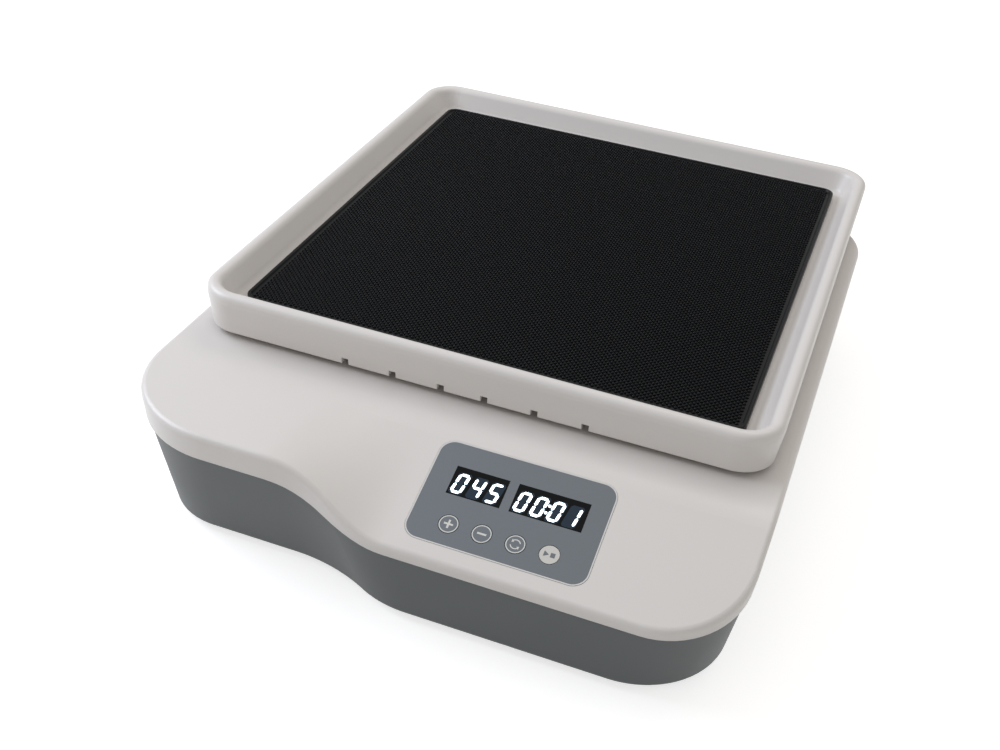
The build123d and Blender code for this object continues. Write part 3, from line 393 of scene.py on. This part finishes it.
def addPiece(name, verts, faces, finish, body):
    data = bpy.data.meshes.new(name)
    data.from_pydata([tuple(v) for v in verts], [], faces)
    data.validate()
    bm = bmesh.new()
    bm.from_mesh(data)
    bmesh.ops.recalc_face_normals(bm, faces=bm.faces)
    bm.to_mesh(data)
    bm.free()
    piece = bpy.data.objects.new(name, data)
    bpy.context.scene.collection.objects.link(piece)
    data.materials.append(finishes[finish])
    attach(piece, body)
    return piece


def joinRings(faces, first, second, count):
    # side faces between two rings of count points, which start at the points first and second
    for i in range(count):
        j = (i + 1) % count
        faces.append((first + i, first + j, second + j, second + i))


gripMat = {
    "pitch": 2.6,         # mm from point to point in a row
    "height": 0.9,        # mm
    "point": 0.22,        # share of the pitch that is flat on top
    "foot": 0.86,         # share of the pitch that the foot of a point takes
    "sunk": 0.1,          # mm that a foot reaches into the sheet
    "border": 2.0,        # mm of smooth edge
    "slope": 0.5,         # mm of the border that falls to the sheet
    "apart": 0.2,         # mm between the border and the first feet
    "lip": 0.05,          # mm that the border lies below the points
    "bevel": 0.5,         # mm
    "bevelDrop": 0.9,     # share of the bevel from its lower end to the top
    "bevelBend": (0.25, 0.3),  # shares of the bevel, in and down, at its bend
    "corner": 6.0,        # mm
    "cornerSteps": 8,
}


def roundedRing(low, high, inset, corner, steps, z):
    x0, y0, x1, y1 = low.x + inset, low.y + inset, high.x - inset, high.y - inset
    r = corner - inset
    out = []
    for cx, cy, start in ((x1 - r, y1 - r, 0), (x0 + r, y1 - r, 90), (x0 + r, y0 + r, 180),
                          (x1 - r, y0 + r, 270)):
        for i in range(steps + 1):
            a = math.radians(start + 90 * i / steps)
            out.append(Vector((cx + r * math.cos(a), cy + r * math.sin(a), z)))
    return out


def makeGripMat():
    s = gripMat
    low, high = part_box("grip_mat")
    top = high.z
    sheet = top - s["height"] * mm
    bendIn, bendDown = s["bevelBend"]
    # from the underside up over the bevel and the border, then down to the sheet between the points
    profile = (
        (0, low.z),
        (0, top - s["bevel"] * s["bevelDrop"] * mm),
        (bendIn * s["bevel"] * mm, top - bendDown * s["bevel"] * mm),
        (s["bevel"] * mm, top - s["lip"] * mm),
        ((s["border"] - s["slope"]) * mm, top - s["lip"] * mm),
        (s["border"] * mm, sheet),
    )
    rings = [roundedRing(low, high, inset, s["corner"] * mm, s["cornerSteps"], z) for inset, z in profile]
    count = len(rings[0])
    verts = [v for ring in rings for v in ring]
    faces = [tuple(reversed(range(count)))]
    for k in range(len(rings) - 1):
        joinRings(faces, k * count, (k + 1) * count, count)
    faces.append(tuple(range((len(rings) - 1) * count, len(rings) * count)))
    # rows of blunt points, set on the diagonal
    smoothFrom = len(faces)
    pitch = s["pitch"] * mm
    half = pitch * s["foot"] / 2
    tip = pitch * s["point"] / 2
    edge = s["border"] * mm + half + s["apart"] * mm
    columns = int((high.x - low.x - 2 * edge) / pitch)
    rows = int((high.y - low.y - 2 * edge) / (pitch / 2))
    x0 = (low.x + high.x) / 2 - columns * pitch / 2
    y0 = (low.y + high.y) / 2 - rows * pitch / 4
    corners = ((1, 0), (0, 1), (-1, 0), (0, -1))
    for row in range(rows + 1):
        odd = row % 2
        for column in range(columns + (0 if odd else 1)):
            cx = x0 + column * pitch + (pitch / 2 if odd else 0.0)
            cy = y0 + row * pitch / 2
            base = len(verts)
            verts += [Vector((cx + dx * half, cy + dy * half, sheet - s["sunk"] * mm)) for dx, dy in corners]
            verts += [Vector((cx + dx * tip, cy + dy * tip, top)) for dx, dy in corners]
            joinRings(faces, base, base + 4, 4)
            faces += [(base + 4, base + 5, base + 6, base + 7), (base + 3, base + 2, base + 1, base)]
    piece = addPiece("gripMatPoints", verts, faces, "neoprenePressed", "platform")
    for polygon in piece.data.polygons[smoothFrom:]:
        polygon.use_smooth = True
    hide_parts("grip_mat")


makeGripMat()
print("grip mat pressed")

# The control panel lies on the sloped tongue: u runs to the right, v up the slope and w out of it, all in mm.
panel = {
    "centre": (38.4, -147.355, 54.914),
    "tilt": 20.2,         # degrees
    "proud": 0.1,         # from the centre out to the printed face
    "width": 76.5,
    "height": 47.8,
    "corner": 6.6,
    "outline": 0.55,      # width of the white line along the edge
    "thin": 0.05,         # thickness of a print or a lit segment
}
tilt = math.radians(panel["tilt"])
panelTurn = Matrix(((1, 0, 0), (0, math.cos(tilt), -math.sin(tilt)), (0, math.sin(tilt), math.cos(tilt))))


def onPanel(u, v, w):
    return (Vector(panel["centre"]) + panelTurn @ Vector((u, v, w + panel["proud"]))) * mm


def plate(verts, faces, outline, low, high, onFace=onPanel):
    # adds one flat closed plate from an outline of (u, v) points
    base = len(verts)
    count = len(outline)
    verts += [onFace(u, v, low) for u, v in outline] + [onFace(u, v, high) for u, v in outline]
    faces.append(tuple(base + count + i for i in range(count)))
    faces.append(tuple(base + i for i in reversed(range(count))))
    joinRings(faces, base, base + count, count)


def band(verts, faces, outer, inner, low, high, onFace=onPanel):
    # adds one flat closed band between two outlines with the same number of points
    base = len(verts)
    count = len(outer)
    for ring, w in ((outer, low), (outer, high), (inner, high), (inner, low)):
        verts += [onFace(u, v, w) for u, v in ring]
    for k in range(4):
        joinRings(faces, base + k * count, base + (k + 1) % 4 * count, count)


def circle(u, v, radius, steps=48):
    return [(u + radius * math.cos(math.tau * i / steps), v + radius * math.sin(math.tau * i / steps))
            for i in range(steps)]


def spoke(u, v, radius, degrees):
    return (u + radius * math.cos(math.radians(degrees)), v + radius * math.sin(math.radians(degrees)))


def rectangle(u0, v0, u1, v1):
    return [(u0, v0), (u1, v0), (u1, v1), (u0, v1)]


def roundedOutline(width, height, corner, steps=8):
    out = []
    for cx, cy, start in ((1, 1, 0), (-1, 1, 90), (-1, -1, 180), (1, -1, 270)):
        for i in range(steps + 1):
            a = math.radians(start + 90 * i / steps)
            out.append((cx * (width / 2 - corner) + corner * math.cos(a),
                        cy * (height / 2 - corner) + corner * math.sin(a)))
    return out


digits = {
    "height": 9.6,
    "width": 4.9,
    "stroke": 1.15,
    "slant": 9.0,         # degrees
    "gap": 0.12,          # between the ends of two strokes
    "v": 5.0,             # middle of the row
    "lift": 0.03,         # clear of the window
    "dotRise": 1.7,       # from the middle to a dot of the colon
    "dotRadius": 0.62,
    "dotSteps": 20,
    "haloMargin": 0.45,   # how far the glow reaches past a digit
    "haloCorner": 0.9,
    "haloThin": 0.02,
}
readouts = {  # start is the u of the first digit, the colon's place counts in pitches from there
    "speedDigits": {"text": "045", "start": -23.9, "pitch": 7.3, "colonAt": None},
    "timeDigits": {"text": "0001", "start": 2.9, "pitch": 7.05, "colonAt": 1.5},
}
segmentsOf = {"0": "abcdef", "1": "bc", "4": "bcfg", "5": "acdfg"}
digitLean = math.tan(math.radians(digits["slant"]))


def digitSegments(character, u):
    # The strokes of a digit, each a long hexagon, slanted to the right.
    w, h, t = digits["width"] / 2, digits["height"] / 2, digits["stroke"] / 2
    gap = digits["gap"]
    level = {"a": h - t, "g": 0.0, "d": -h + t}
    upright = {"f": (-w + t, 0, h - t), "b": (w - t, 0, h - t),
               "e": (-w + t, -h + t, 0), "c": (w - t, -h + t, 0)}
    out = []
    for name in segmentsOf[character]:
        if name in level:
            y, x0, x1 = level[name], -w + t + gap, w - t - gap
            points = [(x0, y), (x0 + t, y - t), (x1 - t, y - t), (x1, y), (x1 - t, y + t), (x0 + t, y + t)]
        else:
            x, y0, y1 = upright[name]
            y0, y1 = y0 + gap, y1 - gap
            points = [(x, y0), (x + t, y0 + t), (x + t, y1 - t), (x, y1), (x - t, y1 - t), (x - t, y0 + t)]
        out.append([(u + px + py * digitLean, digits["v"] + py) for px, py in points])
    return out


def makeReadouts():
    s = digits
    low, high = s["lift"], s["lift"] + panel["thin"]
    for name, readout in readouts.items():
        start, pitch = readout["start"], readout["pitch"]
        verts, faces = [], []
        for i, character in enumerate(readout["text"]):
            for outline in digitSegments(character, start + i * pitch):
                plate(verts, faces, outline, low, high)
        if readout["colonAt"]:
            for rise in (-s["dotRise"], s["dotRise"]):
                u = start + readout["colonAt"] * pitch + rise * digitLean
                plate(verts, faces, circle(u, s["v"] + rise, s["dotRadius"], s["dotSteps"]), low, high)
        addPiece(name, verts, faces, "segmentsLit", "base")
        # the unlit window round each digit takes a little of its light
        w, h = s["width"] / 2 + s["haloMargin"], s["height"] / 2 + s["haloMargin"]
        c = s["haloCorner"]
        ring = [(w - c, -h), (w, -h + c), (w, h - c), (w - c, h),
                (c - w, h), (-w, h - c), (-w, c - h), (c - w, -h)]
        verts, faces = [], []
        for i in range(len(readout["text"])):
            u = start + i * pitch
            outline = [(u + x + y * digitLean, s["v"] + y) for x, y in ring]
            plate(verts, faces, outline, 0.0, s["haloThin"])
        addPiece(name + "Halo", verts, faces, "segmentsHalo", "base")


keyMarks = {
    "u": {"plus_key": -21.45, "minus_key": -7.35, "mode_key": 6.75, "start_key": 20.85},
    "v": -13.85,
    "ringOuter": 3.95,    # radii of the ring on the first three keys
    "ringInner": 3.5,
    "bar": 0.42,          # half the width of the strokes of plus and minus
    "reach": 1.95,        # half their length
    "arcOuter": 2.2,      # two curved arrows that chase each other
    "arcInner": 1.75,
    "arcStart": 20,       # degrees
    "arcSweep": 110,
    "arcSteps": 12,
    "headInner": 1.2,     # radii of the three corners of an arrow's head
    "headOuter": 2.75,
    "headTip": 1.97,
    "headSweep": 32,      # degrees
    "triangle": (-2.3, -0.2, 1.25),   # left edge, tip, half height
    "square": (0.45, 2.3, 1.0),       # left edge, right edge, half height
}


def makeOutline():
    rim = panel["outline"]
    verts, faces = [], []
    band(verts, faces, roundedOutline(panel["width"], panel["height"], panel["corner"]),
         roundedOutline(panel["width"] - 2 * rim, panel["height"] - 2 * rim, panel["corner"] - rim),
         0.0, panel["thin"])
    addPiece("panelOutline", verts, faces, "inkWhitePrinted", "base")


def makeKeyMarks():
    s = keyMarks
    low, high = 0.0, panel["thin"]
    v, bar, reach = s["v"], s["bar"], s["reach"]
    for body in ("plus_key", "minus_key", "mode_key"):
        u = s["u"][body]
        verts, faces = [], []
        band(verts, faces, circle(u, v, s["ringOuter"]), circle(u, v, s["ringInner"]), low, high)
        if body in ("plus_key", "minus_key"):
            plate(verts, faces, rectangle(u - reach, v - bar, u + reach, v + bar), low, high)
        if body == "plus_key":
            plate(verts, faces, rectangle(u - bar, v - reach, u + bar, v - bar), low, high)
            plate(verts, faces, rectangle(u - bar, v + bar, u + bar, v + reach), low, high)
        if body == "mode_key":
            steps = s["arcSteps"]
            for half in (0, 180):
                arc = [half + s["arcStart"] + s["arcSweep"] * i / steps for i in range(steps + 1)]
                outer = [spoke(u, v, s["arcOuter"], a) for a in arc]
                inner = [spoke(u, v, s["arcInner"], a) for a in arc]
                plate(verts, faces, outer + inner[::-1], low, high)
                plate(verts, faces, [spoke(u, v, s["headInner"], arc[-1]), spoke(u, v, s["headOuter"], arc[-1]),
                                     spoke(u, v, s["headTip"], arc[-1] + s["headSweep"])], low, high)
        addPiece(body.split("_")[0] + "Mark", verts, faces, "inkWhitePrinted", body)
    # start and stop: a triangle and a square side by side
    u = s["u"]["start_key"]
    left, tip, half = s["triangle"]
    verts, faces = [], []
    plate(verts, faces, [(u + left, v - half), (u + tip, v), (u + left, v + half)], low, high)
    left, right, half = s["square"]
    plate(verts, faces, rectangle(u + left, v - half, u + right, v + half), low, high)
    addPiece("startMark", verts, faces, "polyesterGreyPrinted", "start_key")


rocker = {
    "pivot": (-5.0, 153.987, 31.0),  # mm
    "tilt": 10.0,         # degrees at rest
    "dip": 4.1,           # mm from the pivot to the middle of the face
    "rise": 0.16883,      # how the face climbs towards both ends
    "stroke": 0.35,       # mm
    "bar": (3.3, 6.1),    # mm from the middle to both ends of the bar
    "ringAt": -4.7,       # mm from the middle to the ring's centre
    "ringRadius": 1.4,    # mm
    "ringSteps": 32,
    "sunk": 0.02,         # mm that a mark reaches into the face
    "proud": 0.03,        # mm that it stands out
}


def onRocker(across, along, lift):
    turn = math.radians(rocker["tilt"])
    out = rocker["dip"] + abs(along) * rocker["rise"] + lift
    x, y, z = rocker["pivot"]
    return Vector((x + across,
                   y + out * math.cos(turn) - along * math.sin(turn),
                   z + out * math.sin(turn) + along * math.cos(turn))) * mm


def makeRockerMarks():
    # a bar on the upper half for on, a ring on the lower half for off
    s = rocker
    half = s["stroke"] / 2
    outer = circle(0, s["ringAt"], s["ringRadius"], s["ringSteps"])
    inner = circle(0, s["ringAt"], s["ringRadius"] - s["stroke"], s["ringSteps"])
    verts, faces = [], []
    plate(verts, faces, rectangle(-half, s["bar"][0], half, s["bar"][1]), -s["sunk"], s["proud"], onRocker)
    band(verts, faces, outer, inner, -s["sunk"], s["proud"], onRocker)
    addPiece("rockerMarks", verts, faces, "inkWhitePrinted", "power_rocker")


makeReadouts()
makeOutline()
makeKeyMarks()
makeRockerMarks()
print("readouts and prints on the panel and the rocker")


# floor and light

studio = {
    "floorColour": "#D2D1CF",
    "floorSize": 6.0,     # m from the middle to an edge
    "floorGlow": 0.68,    # added only where the camera, a reflection or clear plastic sees the floor
    "worldStrength": 0.52,
}


def makeFloor():
    bm = bmesh.new()
    bmesh.ops.create_grid(bm, x_segments=1, y_segments=1, size=studio["floorSize"])
    data = bpy.data.meshes.new("studioFloor")
    bm.to_mesh(data)
    bm.free()
    floor = bpy.data.objects.new("studioFloor", data)
    bpy.context.scene.collection.objects.link(floor)
    m = blankMaterial("paperSweep")
    ray = addNode(m, "ShaderNodeLightPath")
    seen = addNode(m, "ShaderNodeMath", {"operation": "MAXIMUM"},
                   [(0, ray, "Is Camera Ray"), (1, ray, "Is Glossy Ray")])
    seen = addNode(m, "ShaderNodeMath", {"operation": "MAXIMUM"},
                   [(0, seen, 0), (1, ray, "Is Transmission Ray")])
    glow = addNode(m, "ShaderNodeMath", {"operation": "MULTIPLY"}, [(0, seen, 0)], {1: studio["floorGlow"]})
    paper = addNode(m, "ShaderNodeBsdfDiffuse", values={"Color": linear(studio["floorColour"])})
    shine = addNode(m, "ShaderNodeEmission", links=[("Strength", glow, 0)], values={"Color": (1, 1, 1, 1)})
    both = addNode(m, "ShaderNodeAddShader", links=[(0, paper, 0), (1, shine, 0)])
    addNode(m, "ShaderNodeOutputMaterial", links=[("Surface", both, 0)])
    data.materials.append(m)


lamps = {  # places, aims and sizes in m, powers in W
    "windowLeft": {"place": (-0.95, -0.1, 0.75), "aim": (-0.1, 0, 0.05), "size": (0.8, 0.6), "power": 8.5,
                   "colour": "#E9F0FF"},
    "ceilingBack": {"place": (0.3, 0.9, 1.7), "aim": (0, 0, 0.05), "size": (1.4, 0.8), "power": 5.0,
                    "colour": "#FFF6EC"},
    "roomRight": {"place": (1.4, -0.6, 0.9), "aim": (0, 0, 0.05), "size": (0.9, 0.9), "power": 0.2,
                  "colour": "#F4F8FF"},
}


def makeLamp(name, look):
    data = bpy.data.lights.new(name, "AREA")
    data.shape = "RECTANGLE"
    data.size, data.size_y = look["size"]
    data.energy = look["power"]
    data.color = linear(look["colour"])[:3]
    lamp = bpy.data.objects.new(name, data)
    lamp.location = look["place"]
    lamp.rotation_euler = (Vector(look["aim"]) - Vector(look["place"])).to_track_quat("-Z", "Y").to_euler()
    bpy.context.scene.collection.objects.link(lamp)


def makeStudio():
    makeFloor()
    world = bpy.data.worlds.new("softRoom")
    world.use_nodes = True
    sky = world.node_tree.nodes["Background"]
    sky.inputs["Color"].default_value = (1.0, 1.0, 1.0, 1.0)
    sky.inputs["Strength"].default_value = studio["worldStrength"]
    bpy.context.scene.world = world
    for name, look in lamps.items():
        makeLamp(name, look)
    bpy.context.scene.view_settings.view_transform = "Standard"


makeStudio()
print("floor and lights set")
